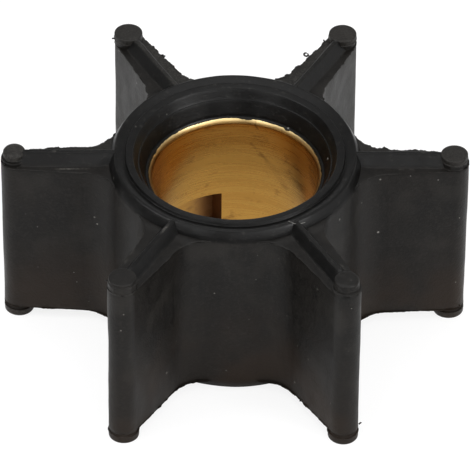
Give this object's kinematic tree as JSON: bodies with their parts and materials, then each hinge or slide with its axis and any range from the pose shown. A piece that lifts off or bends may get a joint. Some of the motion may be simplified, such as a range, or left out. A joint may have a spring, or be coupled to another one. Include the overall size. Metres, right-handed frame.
{
  "type": "pump impeller",
  "caption": "Flexible rubber water pump impeller with beaded straight vanes, stepped hub collars and a brass bush with a key slot.",
  "frame": {"origin": "centre of the lower end of the hub, on the shaft axis, at the lowest point of the part", "axes": "+Z along the shaft axis, away from the end that the key slot opens at; +X along the middle of one vane"},
  "size_m": [0.0508, 0.0444, 0.0225],
  "materials": {
    "rubber": "black moulded nitrile rubber, satin, with faint flow marks",
    "brass": "turned brass, fine tool lines, slightly dulled"
  },
  "bodies": {
    "root": {"rubber_body": "rubber", "brass_bush": "brass"}
  },
  "joints": []
}
